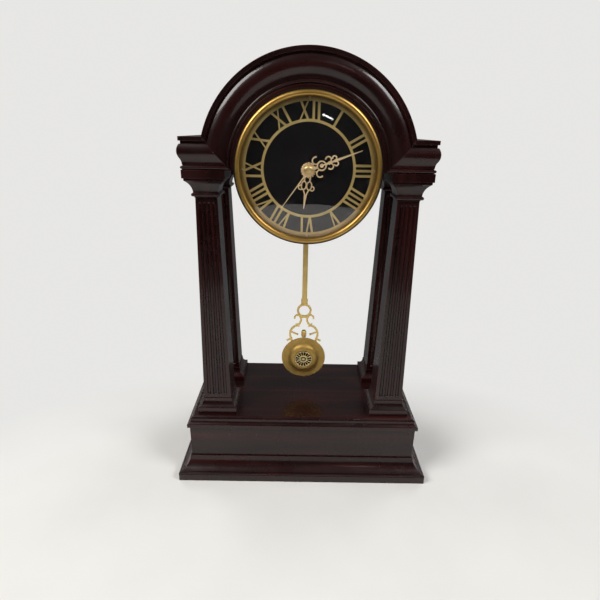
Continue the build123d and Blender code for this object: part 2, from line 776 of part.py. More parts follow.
def hands():
    """Pierced hour and minute hands and the plain second hand."""
    curl = hour_len / 9
    petal_x = 0.65 * curl
    petal_y = hour_hub_r + 1.9 * curl
    petal_h = 0.95 * curl
    petal_half_w = petal_x - scroll_w / 4
    spear_y = hour_hub_r + 4.5 * curl
    side = Ellipse(petal_half_w + scroll_w / 2, petal_h + scroll_w / 2)
    side -= Ellipse(petal_half_w - scroll_w / 2, petal_h - scroll_w / 2)
    side = Pos(petal_x, petal_y) * side
    side += trace(Line((petal_x, hour_hub_r - scroll_w), (petal_x, petal_y - petal_h)), 1.3 * scroll_w)
    side += scroll(2.1 * petal_x, petal_y + 0.55 * curl, 0.5 * curl, -110, 250)
    side += trace(Line((petal_x, petal_y + petal_h), (0, spear_y)), scroll_w)
    hour = Circle(hour_hub_r) + both(side)
    hour += pointer(spear_y - scroll_w, hour_len, 2.4 * scroll_w, 0.5 * scroll_w)
    hour -= Circle(hour_pipe_r + glue_gap)
    save("hour_hand", hand_plate(hour, hour_deg, hour_hand_y))

    ring_r = minute_len / 13
    ring_y = minute_hub_r + 2.1 * ring_r
    minute = Circle(minute_hub_r)
    minute += pointer(minute_hub_r - scroll_w, ring_y - ring_r + scroll_w / 2, 2.4 * scroll_w, 1.6 * scroll_w)
    minute += Pos(0, ring_y) * (Circle(ring_r + scroll_w / 2) - Circle(ring_r - scroll_w / 2))
    minute += Pos(0, ring_y) * Circle(0.45 * ring_r)
    minute += pointer(ring_y, ring_y + ring_r, scroll_w, scroll_w)
    minute += both(scroll(1.5 * ring_r, ring_y - 0.9 * ring_r, 0.8 * ring_r, 150, 230))
    neck_y = ring_y + ring_r
    minute += pointer(neck_y - scroll_w / 2, neck_y + 3.2 * ring_r, 1.7 * scroll_w, 1.2 * scroll_w)
    minute += both(scroll(0.8 * ring_r, neck_y + 0.9 * ring_r, 0.62 * ring_r, -60, 250))
    minute += both(scroll(0.62 * ring_r, neck_y + 2.3 * ring_r, 0.48 * ring_r, -70, 260))
    minute += pointer(neck_y + 3 * ring_r, minute_len, 1.7 * scroll_w, 0.45 * scroll_w)
    minute -= Circle(minute_pipe_r + glue_gap)
    save("minute_hand", hand_plate(minute, minute_deg, minute_hand_y))

    second = Circle(second_hub_r) + pointer(0, second_len, 1.1 * scroll_w, 0.4 * scroll_w)
    needle = hand_plate(second, second_deg, second_hand_y)
    needle += rod_along_y(second_hub_r, second_hand_y - hand_t, second_hand_y + hand_gap / 2, z=dial_z)
    bore_y = second_hand_y - hand_t / 2
    bore = rod_along_y(second_arbor_r + glue_gap, bore_y, second_hand_y + hand_gap, z=dial_z)
    save("second_hand", needle - bore)


def gear(teeth, module, first_tooth):
    """Flat gear with straight-sided teeth; first_tooth is the angle of one tooth in degrees."""
    radius = teeth * module / 2
    root = radius - 1.15 * module
    tip = radius + 0.8 * module
    pitch = 2 * math.pi / teeth
    points = []
    for index in range(teeth):
        middle = math.radians(first_tooth) + index * pitch
        for r, share in ((root, -0.27), (tip, -0.09), (tip, 0.09), (root, 0.27)):
            points.append((r * math.cos(middle + share * pitch), r * math.sin(middle + share * pitch)))
    return Polygon(*points, align=None)


def mate(direction, teeth):
    """Tooth angle of the mating gear: a gap faces back along the line of centres."""
    return direction + 180 + 180 / teeth


# Gear train: tooth counts, then arbors in the dial's plane
center_teeth = 64
third_pinion_teeth = 8
third_teeth = 60
second_pinion_teeth = 8
cannon_teeth = 12
motion_teeth = 36
motion_pinion_teeth = 10
hour_teeth = 40
knob_teeth = 12
train_module = 2 * train_dist / (center_teeth + third_pinion_teeth)
second_module = 2 * train_dist / (third_teeth + second_pinion_teeth)
motion_module = 2 * motion_dist / (cannon_teeth + motion_teeth)
hour_module = 2 * motion_dist / (motion_pinion_teeth + hour_teeth)
knob_dist = motion_module * (motion_teeth + knob_teeth) / 2


def polar(distance, degrees):
    """Point at a distance and direction, as seen from the front."""
    return distance * math.cos(math.radians(degrees)), distance * math.sin(math.radians(degrees))


third_spot = polar(train_dist, third_deg)
motion_spot = polar(motion_dist, motion_deg)
knob_step = polar(knob_dist, knob_deg)
knob_spot = (motion_spot[0] + knob_step[0], motion_spot[1] + knob_step[1])
hour_wheel_y = wheel_y
motion_wheel_y = hour_wheel_y + layer_pitch
center_wheel_y = motion_wheel_y + layer_pitch
third_wheel_y = center_wheel_y + layer_pitch
second_wheel_y = third_wheel_y + layer_pitch
arbor_front_y = case_front_y + case_wall - bearing_depth / 2
post_front_y = second_wheel_y + layer_pitch
arbor_back_y = post_front_y + bearing_depth


def wheel(teeth, module, first_tooth, y, spot=(0.0, 0.0), thickness=wheel_t):
    """Gear in the train, centred on its layer."""
    sketch = Pos(spot[0], dial_z + spot[1]) * gear(teeth, module, first_tooth)
    return plate(sketch, y - thickness / 2, y + thickness / 2)


def gear_train():
    """Wheels from the seconds arbor down to the hour pipe, and the hand-setting knob."""
    second = wheel(second_pinion_teeth, second_module, third_deg, third_wheel_y, thickness=pinion_t)
    second += rod_along_y(second_arbor_r, second_hand_y - hand_t / 2, arbor_back_y, z=dial_z)
    second += wheel(center_teeth - 4 * third_pinion_teeth, train_module, 0, second_wheel_y)
    save("seconds_wheel", second)

    third_first = mate(third_deg, third_teeth)
    third = wheel(third_teeth, second_module, third_first, third_wheel_y, third_spot)
    third += wheel(third_pinion_teeth, train_module, third_deg + 180, center_wheel_y, third_spot, pinion_t)
    third += rod_along_y(arbor_r, arbor_front_y, arbor_back_y, third_spot[0], dial_z + third_spot[1])
    save("third_wheel", third)

    center = wheel(center_teeth, train_module, third_deg + 180 / center_teeth, center_wheel_y)
    center += wheel(cannon_teeth, motion_module, motion_deg, motion_wheel_y, thickness=pinion_t)
    center += rod_along_y(minute_pipe_r, minute_hand_y - hand_t, center_wheel_y, z=dial_z)
    center -= rod_along_y(second_arbor_r + pipe_gap, second_hand_y, arbor_back_y, z=dial_z)
    save("center_wheel", center)

    motion_first = mate(motion_deg, motion_teeth)
    motion = wheel(motion_teeth, motion_module, motion_first, motion_wheel_y, motion_spot)
    motion += wheel(motion_pinion_teeth, hour_module, motion_deg + 180, hour_wheel_y, motion_spot, pinion_t)
    motion_x, motion_z = motion_spot[0], dial_z + motion_spot[1]
    motion -= rod_along_y(arbor_r + arbor_gap, case_front_y, center_wheel_y, motion_x, motion_z)
    save("motion_wheel", motion)

    hour = wheel(hour_teeth, hour_module, motion_deg + 180 / hour_teeth, hour_wheel_y)
    hour += rod_along_y(hour_pipe_r, hour_hand_y - hand_t, hour_wheel_y, z=dial_z)
    hour -= rod_along_y(minute_pipe_r + pipe_gap, minute_hand_y, center_wheel_y, z=dial_z)
    save("hour_wheel", hour)

    knob_x, knob_z = knob_spot[0], dial_z + knob_spot[1]
    step = 360 / motion_teeth
    facing = motion_first + step * math.floor((knob_deg - motion_first) / step)
    lead = (knob_deg - facing) * motion_teeth / knob_teeth
    first = mate(knob_deg, knob_teeth) + lead
    knob = wheel(knob_teeth, motion_module, first, motion_wheel_y, knob_spot, pinion_t)
    knob += rod_along_y(arbor_r, arbor_front_y, case_back_y + knob_gap + knob_h, knob_x, knob_z)
    knob += rod_along_y(knob_r, case_back_y + knob_gap, case_back_y + knob_gap + knob_h, knob_x, knob_z)
    save("setting_knob", knob)


def movement_case():
    """Plastic case in two halves with the threaded post, bearings, battery bay and pendulum pin."""
    low = dial_z - case_below
    high = dial_z + case_above
    inner = case_half_w - case_wall
    inner_low = low + case_wall
    inner_high = high - case_wall
    front = block(-case_half_w, case_half_w, case_front_y, case_split_y, low, high)
    front -= block(-inner, inner, case_front_y + case_wall, case_split_y + 1, inner_low, inner_high)
    front += rod_along_y(post_r, nut_front_y, case_front_y + case_wall, z=dial_z)
    front -= rod_along_y(hour_pipe_r + pipe_gap, nut_front_y - 1, case_split_y, z=dial_z)
    rear = block(-case_half_w, case_half_w, case_split_y, case_back_y, low, high)
    rear -= block(-inner, inner, case_split_y - 1, case_back_y - case_wall, inner_low, inner_high)
    stud_x, stud_z = motion_spot[0], dial_z + motion_spot[1]
    front += rod_along_y(arbor_r, case_front_y, motion_wheel_y + wheel_t, stud_x, stud_z)
    for x, z in (third_spot, (0.0, 0.0)):
        rear += rod_along_y(bearing_post_r, post_front_y, case_back_y, x, dial_z + z)
        rear -= rod_along_y(arbor_r + arbor_gap, post_front_y - 1, arbor_back_y + glue_gap, x, dial_z + z)
    for x, z in (third_spot, knob_spot):
        front -= rod_along_y(arbor_r + arbor_gap, arbor_front_y - glue_gap, case_split_y, x, dial_z + z)
    knob_x, knob_z = knob_spot[0], dial_z + knob_spot[1]
    rear -= rod_along_y(arbor_r + arbor_gap, case_split_y, case_back_y + 1, knob_x, knob_z)

    bay_half = battery_l / 2 + contact_t + battery_gap
    bay_h = battery_r + battery_gap
    bay_y = battery_mid_y - battery_r - battery_gap
    shell = block(-bay_half - case_wall, bay_half + case_wall, bay_y - case_wall, case_back_y,
                  battery_z - bay_h - case_wall, battery_z + bay_h + case_wall)
    rear += shell & block(-case_half_w, case_half_w, case_split_y, case_back_y, low, high)
    rear -= block(-bay_half, bay_half, bay_y, case_back_y + 1, battery_z - bay_h, battery_z + bay_h)
    rear += rod_along_y(hanger_hub_r, case_back_y, pendulum_y - hanger_t / 2 - hub_clear, z=dial_z)
    rear += rod_along_y(pivot_pin_r, case_back_y, pendulum_y + hanger_t, z=dial_z)
    for x, z in stand_spots():
        rear += rod_along_y(stand_post_r, case_floor_y - stand_off, case_back_y, x, z)
    save("movement_front_case", front)
    save("movement_rear_case", rear)

    nut = plate(Pos(0, dial_z) * RegularPolygon(mount_nut_r, 6), nut_front_y, dial_front_y)
    nut -= rod_along_y(post_r + glue_gap, nut_front_y - 1, dial_front_y + 1, z=dial_z)
    save("movement_mounting_nut", nut)


board_x = case_half_w - case_wall - battery_gap - board_w
board_z0 = dial_z + board_up
outer_leg_x = case_wall + motor_gap + motor_coil_r - case_half_w
inner_leg_x = outer_leg_x + motor_w - motor_leg_w
motor_x = (outer_leg_x + inner_leg_x) / 2


def stand_spots():
    """Posts on the back of the case under the board and the stator."""
    yield board_x + board_w / 5, board_z0 + board_h / 2
    yield board_x + 4 * board_w / 5, board_z0 + board_h / 2
    for side in (-1, 1):
        yield inner_leg_x, dial_z + motor_z + side * (motor_h - motor_leg_w) / 2


def electrics():
    """Battery, contacts, circuit board, step motor and the coil that drives the pendulum."""
    half = battery_l / 2
    shoulder = half - battery_r / 6
    end = Pos(0, battery_mid_y, battery_z) * Rot(0, 90, 0)
    cell = end * Pos(0, 0, (shoulder - half) / 2) * Cylinder(battery_r, half + shoulder)
    cell += end * Pos(0, 0, half / 2) * Cylinder(0.4 * battery_r, half)
    save("battery", cell)
    contacts = []
    for sign in (-1, 1):
        x = sorted((sign * (half + battery_gap + contact_t), sign * (half + battery_gap)))
        contacts.append(block(x[0], x[1], battery_mid_y - battery_r / 2, case_floor_y,
                              battery_z - battery_r / 2, battery_z + battery_r / 2))
    save("battery_contacts", *contacts)

    stand_y = case_floor_y - stand_off
    save("circuit_board", block(board_x, board_x + board_w, stand_y - board_t, stand_y,
                                board_z0, board_z0 + board_h))
    frame = Rectangle(motor_w, motor_h) - Rectangle(motor_w - 2 * motor_leg_w, motor_h - 2 * motor_leg_w)
    save("motor_stator", plate(Pos(motor_x, dial_z + motor_z) * frame, stand_y - stator_t, stand_y))
    coil_z = dial_z + motor_z
    coil = rod_along_z(motor_coil_r, coil_z - motor_coil_l / 2, coil_z + motor_coil_l / 2,
                       outer_leg_x, stand_y - stator_t / 2)
    leg_half = motor_leg_w / 2 + glue_gap
    coil -= block(outer_leg_x - leg_half, outer_leg_x + leg_half, stand_y - stator_t - glue_gap,
                  stand_y + glue_gap, coil_z - motor_coil_l, coil_z + motor_coil_l)
    save("motor_coil", coil)
    save("pendulum_drive_coil", tube_along_y(drive_coil_r, drive_coil_bore_r, case_floor_y - drive_coil_l,
                                             case_floor_y, z=dial_z - magnet_drop))


# Pendulum heights worked out from its sizes
hanger_foot_z = dial_z - hanger_l
hook_pin_z = hanger_foot_z + hook_pin_up
strip_foot_z = bob_z + fret_ring_up + fret_ring_r + fret_w / 2 + glue_gap
bob_back_y = pendulum_y - fret_t / 2
bob_front_h = bob_rim_t + bob_dome_h
bob_nut_z = bob_z + bob_r + bob_nut_up


def pendulum_rod():
    """Hanger on the movement's pin, its magnet, and the flat rod that hooks into it."""
    front = pendulum_y - hanger_t / 2
    back = pendulum_y + hanger_t / 2
    hanger = rod_along_y(hanger_hub_r, front, back, z=dial_z)
    hanger += rod_along_y(magnet_r, front, back, z=dial_z - magnet_drop)
    hanger += block(-hanger_w / 2, hanger_w / 2, front, back, hanger_foot_z, dial_z)
    hanger -= rod_along_y(pivot_pin_r + pivot_gap, front - 1, back + 1, z=dial_z)
    slot_half = strip_t / 2 + hook_gap
    hanger -= block(-hanger_w, hanger_w, pendulum_y - slot_half, pendulum_y + slot_half,
                    hanger_foot_z - 1, hanger_foot_z + hook_slot_h)
    hanger += rod_along_y(hook_pin_r, front, back, z=hook_pin_z)
    save("pendulum_hanger", hanger)
    save("pendulum_magnet", rod_along_y(magnet_r, front - magnet_t, front, z=dial_z - magnet_drop))

    notch_r = hook_pin_r + hook_gap
    strip = block(-strip_w / 2, strip_w / 2, pendulum_y - strip_t / 2, pendulum_y + strip_t / 2,
                  strip_foot_z, hanger_foot_z + hook_slot_h - hook_gap)
    strip -= rod_along_y(notch_r, pendulum_y - strip_t, pendulum_y + strip_t, z=hook_pin_z)
    strip -= block(-strip_w, 0, pendulum_y - strip_t, pendulum_y + strip_t,
                   hook_pin_z - notch_r, hook_pin_z + notch_r)
    save("pendulum_rod", strip)


def pendulum_fretwork():
    """Scrolled wire between the rod and the bob, with the clip for the rod's end."""
    fret = Pos(0, fret_ring_up) * (Circle(fret_ring_r + fret_w / 2) - Circle(fret_ring_r - fret_w / 2))
    shoulder = (0.6 * fret_curl_out, fret_curl_up + fret_w)
    hook = ThreePointArc(shoulder, (fret_curl_out, fret_curl_up + fret_w / 2),
                         (fret_curl_out + fret_w / 2, fret_hook_up))
    curl = ThreePointArc(shoulder, (fret_waist_out, fret_waist_up), (fret_knot_out, fret_knot_up))
    lobe = ThreePointArc((fret_knot_out, fret_knot_up), (fret_lobe_out, fret_lobe_up),
                         (fret_foot_out, fret_foot_up))
    cross_r = bob_r - 2 * fret_w
    cross_end = cross_r * math.sin(math.radians(40)), cross_r * math.cos(math.radians(40))
    thorn_in = (fret_knot_out - 0.8 * fret_w, fret_knot_up - 0.8 * fret_w)
    thorn_out = (fret_knot_out + 0.9 * fret_w, fret_knot_up + 0.9 * fret_w)
    side = trace(curl, fret_w) + trace(lobe, fret_w) + trace(hook, 0.8 * fret_w)
    side += trace(Line(thorn_in, thorn_out), 0.6 * fret_w)
    side += trace(Line((fret_foot_out, fret_foot_up), cross_end), fret_w)
    side += trace(Line((fret_foot_out, fret_foot_up), (fret_tip_out, fret_tip_up)), 0.8 * fret_w)
    side += trace(Line((fret_lobe_out, fret_lobe_up), (fret_leaf_out, fret_leaf_up)), 0.7 * fret_w)
    side += trace(Line((0, fret_curl_up), (fret_waist_out + fret_w / 4, fret_curl_up)), fret_w)
    for spot, size in ((shoulder, 0.6), ((fret_knot_out, fret_knot_up), 0.7),
                       ((fret_foot_out, fret_foot_up), 0.6), ((fret_leaf_out, fret_leaf_up), 0.5)):
        side += Pos(*spot) * Circle(size * fret_w)
    fret += both(side)
    fret += trace(CenterArc((0, 0), cross_r, 45, 90), 2 * fret_w)
    post_top = bob_r + bob_nut_up + bob_nut_h / 2
    fret += Pos(0, (cross_r + post_top) / 2) * Rectangle(bob_nut_post_w, post_top - cross_r)
    wire = plate(Pos(0, bob_z) * fret, pendulum_y - fret_t / 2, pendulum_y + fret_t / 2)
    clip_y = pendulum_y + strip_t / 2 + glue_gap
    clip_half = strip_w / 2 + clip_w
    clip_low = strip_foot_z - fret_w
    clip_top = strip_foot_z + clip_h
    wire += block(-clip_half, clip_half, clip_y, clip_y + clip_w, clip_low, clip_top)
    for sign in (-1, 1):
        x = sorted((sign * clip_half, sign * (strip_w / 2 + glue_gap)))
        wire += block(x[0], x[1], pendulum_y - strip_t / 2, clip_y + clip_w, clip_top - lug_h, clip_top)
    save("pendulum_fretwork", wire)

    nut = rod_along_z(bob_nut_r, bob_nut_z, bob_nut_z + bob_nut_h, 0, pendulum_y)
    post_half = bob_nut_post_w / 2 + glue_gap
    depth_half = fret_t / 2 + glue_gap
    nut -= block(-post_half, post_half, pendulum_y - depth_half, pendulum_y + depth_half,
                 bob_nut_z - 1, bob_z + post_top + glue_gap)
    save("regulating_nut", nut)


def pendulum_bob():
    """Bob that swells from a hollow border to a dome, and the pierced rosette on it."""
    rim_in = (bob_r - bob_rim_t, bob_rim_t)
    dome_foot = (bob_r - bob_border_w, bob_rim_t)
    dome_head = (rosette_r + 2 * rosette_border, bob_front_h)
    turn = ((dome_foot[0] + dome_head[0]) / 2, (dome_foot[1] + dome_head[1]) / 2)

    def turned_bob(start, steps, back_y):
        face = outline(start, steps, lambda r, h: (r, back_y - h))
        return Pos(0, 0, bob_z) * revolve(face, Axis.Y)

    save("pendulum_bob", turned_bob((0, 0), [
        (bob_r, 0), (bob_r, bob_rim_t), rim_in,
        bow(rim_in, dome_foot, -bob_border_sag),
        bow(dome_foot, turn, -bob_dome_h / 12),
        bow(turn, dome_head, bob_dome_h / 12),
        (0, bob_front_h),
    ], bob_back_y))
    seat_y = bob_back_y - bob_front_h
    relief = Circle(rosette_r) - Circle(rosette_r - rosette_border)
    relief += Circle(2 * petal_w)
    for index in range(rosette_petals):
        spoke = Pos(rosette_r / 2, 0) * Rectangle(rosette_r - rosette_border, petal_w)
        relief += Rot(0, 0, index * 360 / rosette_petals) * spoke
    rosette = plate(Pos(0, bob_z) * relief, seat_y - rosette_t - rosette_relief, seat_y - rosette_t)
    rosette += rod_along_y(rosette_r, seat_y - rosette_t, seat_y, z=bob_z)
    save("bob_rosette", rosette)


def rear_door():
    """Round door over the back of the drum, on a two-leaf hinge."""
    front = panel_y + door_gap
    back = front + door_t
    axis_x = -(door_r + hinge_barrel_r + 1)
    axis_y = front + hinge_barrel_r
    mid_z = dial_z + hinge_z_up
    third = hinge_l / 6

    def barrel(radius, z0, z1):
        return rod_along_z(radius, z0, z1, axis_x, axis_y)

    low, high = mid_z - third, mid_z + third
    end_low, end_high = mid_z - hinge_l / 2, mid_z + hinge_l / 2
    save("rear_door", rod_along_y(door_r, front, back, z=dial_z))

    edge_x = axis_x + hinge_barrel_r + hinge_clear
    end_x = axis_x + hinge_leaf_w
    door_leaf = block(edge_x, end_x, back, back + hinge_leaf_t, end_low, end_high)
    door_leaf += block(axis_x, end_x, back, back + hinge_leaf_t, low, high)
    door_leaf += barrel(hinge_barrel_r, low, high)
    door_leaf -= barrel(hinge_pin_r + hinge_pin_gap, end_low, end_high)
    save("rear_door_hinge_leaf", door_leaf)

    leaf = block(axis_x - hinge_leaf_w, axis_x, panel_y, panel_y + hinge_leaf_t, end_low, end_high)
    leaf -= barrel(hinge_barrel_r + hinge_clear, low - hinge_clear, high + hinge_clear)
    leaf += barrel(hinge_barrel_r, end_low, low - hinge_clear)
    leaf += barrel(hinge_barrel_r, high + hinge_clear, end_high)
    leaf += barrel(hinge_pin_r, end_low, end_high)
    save("rear_door_hinge", leaf)

    knob_x = door_r - door_knob_in
    knob = rod_along_y(door_knob_r / 2, back, back + door_knob_h, knob_x, dial_z)
    head = rod_along_y(door_knob_r, back + door_knob_h / 3, back + door_knob_h, knob_x, dial_z)
    knob += fillet(head.edges().filter_by(GeomType.CIRCLE), door_knob_h / 4)
    save("rear_door_knob", knob)


base_moulding()
base_box()
column_feet()
column_shafts()
column_capitals()
tie_rods()
entablature()
head_boards()
dial_case()
dial_face()
hands()
gear_train()
movement_case()
electrics()
pendulum_rod()
pendulum_fretwork()
pendulum_bob()
rear_door()
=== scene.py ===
"""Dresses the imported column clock: lacquered mahogany, aged brass, black dial under a domed glass."""
import math

import bmesh
import bpy
from mathutils import Matrix, Vector


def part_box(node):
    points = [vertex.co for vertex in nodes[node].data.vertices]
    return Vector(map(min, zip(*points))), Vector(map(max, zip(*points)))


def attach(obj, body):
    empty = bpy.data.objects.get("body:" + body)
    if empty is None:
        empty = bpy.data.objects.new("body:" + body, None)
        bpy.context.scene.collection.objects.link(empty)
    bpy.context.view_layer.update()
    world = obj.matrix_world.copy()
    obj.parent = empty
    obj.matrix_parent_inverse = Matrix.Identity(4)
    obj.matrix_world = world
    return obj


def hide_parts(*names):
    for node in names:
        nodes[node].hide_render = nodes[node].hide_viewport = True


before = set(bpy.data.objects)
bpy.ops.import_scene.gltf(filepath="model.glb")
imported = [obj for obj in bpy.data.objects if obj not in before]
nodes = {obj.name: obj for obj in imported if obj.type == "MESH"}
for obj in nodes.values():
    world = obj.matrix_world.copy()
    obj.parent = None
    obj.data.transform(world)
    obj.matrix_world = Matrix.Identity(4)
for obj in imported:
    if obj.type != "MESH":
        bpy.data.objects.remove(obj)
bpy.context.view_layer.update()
scene = bpy.context.scene

# Places on the object, in metres
DIAL = Vector((0.0, -0.0607, 0.3872))
BOB = Vector((0.0, -0.0008, 0.1368))

# Mahogany: tones of its figure, its lighter edges (worn lacquer and a painted highlight), and noise scale
# across and along the grain
WOOD_TONES = (
    (0.25, (0.0075, 0.0022, 0.0022)),
    (0.50, (0.0145, 0.0036, 0.0034)),
    (0.76, (0.0400, 0.0078, 0.0066)),
)
WOOD_PORES = (0.62, 0.58, 0.58)
WOOD_WORN_AND_HIGHLIT = (0.070, 0.013, 0.011)
EDGE_WEAR_AND_HIGHLIGHT_W = 0.0014
WOOD_EDGE_R = 0.0006
FIGURE_SCALE = (60.0, 4.0)
FIBRE_SCALE = (700.0, 20.0)
BENT_GRAIN_R = 0.1  # turns an angle round the dial into a length along the bent grain

# Brass: colours of painted shade in the rosette's slots and round the dial where bezel and chapter ring
# meet, and noise scale of turning marks and, across and along, of polishing marks
SLOT_PAINTED_SHADE = (0.025, 0.015, 0.005)
CORNER_PAINTED_SHADE = (0.10, 0.052, 0.012)
CORNER_SHADE_SHARE = 0.65
SPIN_SCALE = 2600.0
SPIN_ANGLE_SCALE = 1.5
BRUSH_SCALE = (1500.0, 60.0)

MARK_H = 0.00004  # height of grain and tool marks
GRAIN_H = 0.00003  # height of the texture of paint
WHITE = (1.0, 1.0, 1.0)
BLACK = (0.0, 0.0, 0.0)
PALE = (0.80, 0.795, 0.78)  # background


class Graph:
    """Short helpers for a node tree."""

    # Numbers of a Mix node's colour sockets
    MIX_A, MIX_B, MIX_RESULT = 6, 7, 2

    def __init__(self, tree, coords):
        self.tree = tree
        self.coords = self.add("ShaderNodeTexCoord").outputs[coords]

    def add(self, kind, **values):
        node = self.tree.nodes.new(kind)
        for key, value in values.items():
            setattr(node, key, value)
        return node

    def link(self, source, target):
        self.tree.links.new(source, target)

    def split(self):
        node = self.add("ShaderNodeSeparateXYZ")
        self.link(self.coords, node.inputs["Vector"])
        return node.outputs["X"], node.outputs["Y"], node.outputs["Z"]

    def join(self, *values):
        node = self.add("ShaderNodeCombineXYZ")
        for socket, value in zip(node.inputs, values):
            self.link(value, socket)
        return node.outputs["Vector"]

    def stretch(self, across_along, axis):
        """Coordinates scaled by one number along an axis and by another across it."""
        across, along = across_along
        node = self.add("ShaderNodeMapping", vector_type="POINT")
        node.inputs["Scale"].default_value = [along if k == axis else across for k in range(3)]
        self.link(self.coords, node.inputs["Vector"])
        return node.outputs["Vector"]

    def noise(self, vector, scale=1.0, detail=4.0, rough=0.55, distort=0.0):
        node = self.add("ShaderNodeTexNoise")
        node.inputs["Scale"].default_value = scale
        node.inputs["Detail"].default_value = detail
        node.inputs["Roughness"].default_value = rough
        node.inputs["Distortion"].default_value = distort
        self.link(vector, node.inputs["Vector"])
        return node.outputs["Fac"]

    def ramp(self, value, *stops, blend="LINEAR"):
        """Colour ramp of (position, colour) stops."""
        node = self.add("ShaderNodeValToRGB")
        node.color_ramp.interpolation = blend
        while len(node.color_ramp.elements) < len(stops):
            node.color_ramp.elements.new(0.5)
        for element, (position, colour) in zip(node.color_ramp.elements, stops):
            element.position = position
            element.color = (*colour, 1.0)
        self.link(value, node.inputs["Fac"])
        return node.outputs["Color"]

    def spread(self, value, low, high, from_low=0.3, from_high=0.7):
        """Maps a value to a range."""
        node = self.add("ShaderNodeMapRange")
        node.inputs["From Min"].default_value = from_low
        node.inputs["From Max"].default_value = from_high
        node.inputs["To Min"].default_value = low
        node.inputs["To Max"].default_value = high
        self.link(value, node.inputs["Value"])
        return node.outputs["Result"]

    def mix(self, kind, amount, a, b):
        """Mixes two colours; amount is a number or a socket, b a socket or a colour."""
        node = self.add("ShaderNodeMix", data_type="RGBA", blend_type=kind)
        if isinstance(amount, float):
            node.inputs["Factor"].default_value = amount
        else:
            self.link(amount, node.inputs["Factor"])
        self.link(a, node.inputs[self.MIX_A])
        if isinstance(b, tuple):
            node.inputs[self.MIX_B].default_value = (*b, 1.0)
        else:
            self.link(b, node.inputs[self.MIX_B])
        return node.outputs[self.MIX_RESULT]

    def math(self, operation, *values):
        """Math node; each value is a number or a socket."""
        node = self.add("ShaderNodeMath", operation=operation)
        for socket, value in zip(node.inputs, values):
            if isinstance(value, (int, float)):
                socket.default_value = value
            else:
                self.link(value, socket)
        return node.outputs["Value"]

    def length(self, a, b):
        """Length of a line with the sides a and b."""
        square = self.math("ADD", self.math("MULTIPLY", a, a), self.math("MULTIPLY", b, b))
        return self.math("SQRT", square)


class Shader(Graph):
    """A node material with a Principled shader."""

    def __init__(self, name):
        self.material = bpy.data.materials.new(name)
        self.material.use_nodes = True
        super().__init__(self.material.node_tree, "Object")
        self.shader = self.tree.nodes["Principled BSDF"]
        self.output = self.tree.nodes["Material Output"]

    def set(self, **values):
        """Sets constants on the shader's own sockets."""
        for key, value in values.items():
            self.shader.inputs[key.replace("_", " ")].default_value = value

    def feed(self, **sources):
        """Links other nodes' sockets to the shader's."""
        for key, source in sources.items():
            self.link(source, self.shader.inputs[key.replace("_", " ")])

    def bump(self, height, strength, distance, under=None):
        """Bump from a height, on top of another normal where one is given."""
        node = self.add("ShaderNodeBump")
        node.inputs["Strength"].default_value = strength
        node.inputs["Distance"].default_value = distance
        self.link(height, node.inputs["Height"])
        if under is not None:
            self.link(under, node.inputs["Normal"])
        self.feed(Normal=node.outputs["Normal"])

    def round_about(self, centre):
        """Distance from a front-to-back axis, the angle round it, and the depth along it."""
        x, y, z = self.split()
        x = self.math("SUBTRACT", x, centre.x)
        z = self.math("SUBTRACT", z, centre.z)
        return self.length(x, z), self.math("ARCTAN2", x, z), y

    def rounded(self, radius):
        """Normal that turns round sharp edges."""
        node = self.add("ShaderNodeBevel", samples=6)
        node.inputs["Radius"].default_value = radius
        return node.outputs["Normal"]

    def edges(self, radius):
        """About 1 on sharp edges and 0 on flat faces."""
        true = self.add("ShaderNodeNewGeometry")
        dot = self.add("ShaderNodeVectorMath", operation="DOT_PRODUCT")
        self.link(self.rounded(radius), dot.inputs[0])
        self.link(true.outputs["Normal"], dot.inputs[1])
        return self.spread(dot.outputs["Value"], 1.0, 0.0, 0.80, 0.99)

    def blend_to(self, other, amount):
        """Shows another shader over the Principled one, by an amount from 0 to 1."""
        mixer = self.add("ShaderNodeMixShader")
        self.link(amount, mixer.inputs["Fac"])
        self.link(self.shader.outputs["BSDF"], mixer.inputs[1])
        self.link(other, mixer.inputs[2])
        self.link(mixer.outputs["Shader"], self.output.inputs["Surface"])


def mahogany(name, along):
    """Dark red-brown lacquered wood; along is the grain's axis, or a point the grain runs round."""
    s = Shader(name)
    plain = s.coords
    if isinstance(along, Vector):
        radius, angle, depth = s.round_about(along)
        s.coords = s.join(s.math("MULTIPLY", angle, BENT_GRAIN_R), radius, depth)
        along = 0
    figure = s.noise(s.stretch(FIGURE_SCALE, along), detail=5.0, distort=0.7)
    fibre = s.noise(s.stretch(FIBRE_SCALE, along), detail=3.0, rough=0.6)
    tone = s.ramp(figure, *WOOD_TONES)
    pores = s.ramp(fibre, (0.3, WOOD_PORES), (0.6, WHITE))
    wood = s.mix("MULTIPLY", 0.3, tone, pores)
    patch = s.noise(plain, scale=30.0, detail=3.0)
    # Lighter, redder edges: partly worn lacquer, partly a painted highlight
    edge_wear_and_highlight = s.math("MULTIPLY", s.edges(EDGE_WEAR_AND_HIGHLIGHT_W), s.spread(patch, 0.15, 0.75))
    s.feed(Base_Color=s.mix("MIX", edge_wear_and_highlight, wood, WOOD_WORN_AND_HIGHLIT), Roughness=s.spread(patch, 0.22, 0.36))
    s.bump(fibre, 0.04, MARK_H, under=s.rounded(WOOD_EDGE_R))
    s.set(Coat_Weight=0.3, Coat_Roughness=0.06, Coat_IOR=1.5, IOR=1.45, Specular_IOR_Level=0.35)
    return s.material


